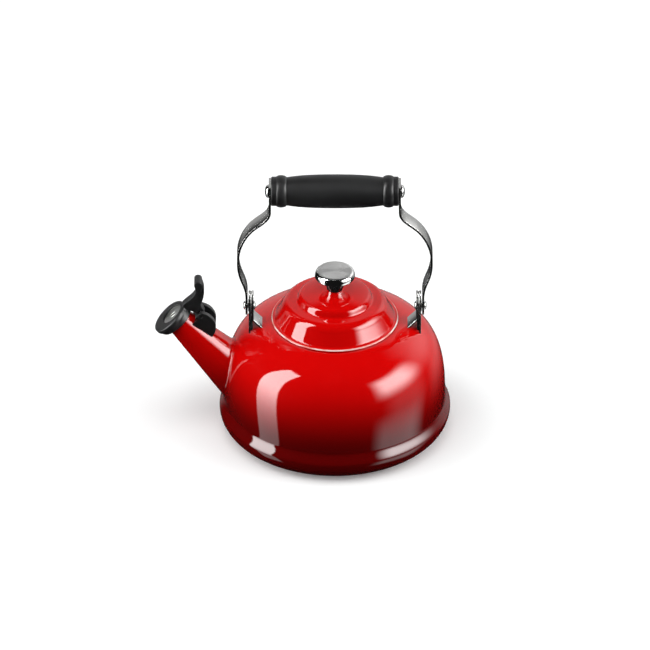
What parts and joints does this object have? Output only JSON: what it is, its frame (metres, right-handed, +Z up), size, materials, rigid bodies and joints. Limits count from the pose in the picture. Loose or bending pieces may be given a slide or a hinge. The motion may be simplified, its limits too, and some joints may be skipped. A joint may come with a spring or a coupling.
{
  "type": "stovetop whistling kettle",
  "caption": "Enamelled stovetop kettle with a conical spout, flip-up whistle cap with a thumb lever, tiered lift-off lid and a swinging bail handle with a moulded grip.",
  "frame": {"origin": "centre of the flat under the base pan", "axes": "+Z up, -X towards the spout, the grip lies along X"},
  "size_m": [0.2447, 0.1916, 0.2401],
  "materials": {
    "enamel": "glossy enamel, darker towards the base",
    "satin_steel": "satin stainless",
    "bright_steel": "polished stainless",
    "grip_phenolic": "lightly grained phenolic",
    "whistle_moulding": "satin moulded plastic"
  },
  "bodies": {
    "kettle": {"body_shell": "enamel", "base_pan": "enamel", "spout": "enamel", "bracket_left": "satin_steel", "bracket_right": "satin_steel", "pivot_washers": "bright_steel", "pivot_rivet_left": "bright_steel", "pivot_rivet_right": "bright_steel", "whistle_clamp": "whistle_moulding", "clamp_screw": "bright_steel", "hinge_pin": "bright_steel", "whistle_spring": "bright_steel"},
    "bail": {"strap_left": "satin_steel", "strap_right": "satin_steel", "grip": "grip_phenolic", "tie_rod": "bright_steel", "grip_nuts": "bright_steel"},
    "lid": {"lid_shell": "enamel", "lid_flange": "enamel", "lid_knob": "satin_steel", "knob_washer": "bright_steel", "knob_screw": "bright_steel"},
    "whistle": {"whistle_cap": "whistle_moulding", "whistle_capsule": "bright_steel", "whistle_disc": "satin_steel"}
  },
  "joints": [
    {"name": "bail_swing", "type": "hinge", "parent": "kettle", "child": "bail", "pos_m": [0, 0, 0.1147], "axis": [1, 0, 0], "range_deg": [-100, 100]},
    {"name": "lid_lift", "type": "slide", "parent": "kettle", "child": "lid", "axis": [0, 0, 1], "range_m": [0, 0.05]},
    {"name": "whistle_flip", "type": "hinge", "parent": "kettle", "child": "whistle", "pos_m": [-0.11087, 0, 0.1086], "axis": [0, 1, 0], "range_deg": [0, 80], "stiffness_Nm_per_rad": 0.02, "springref_deg": -34.38}
  ]
}
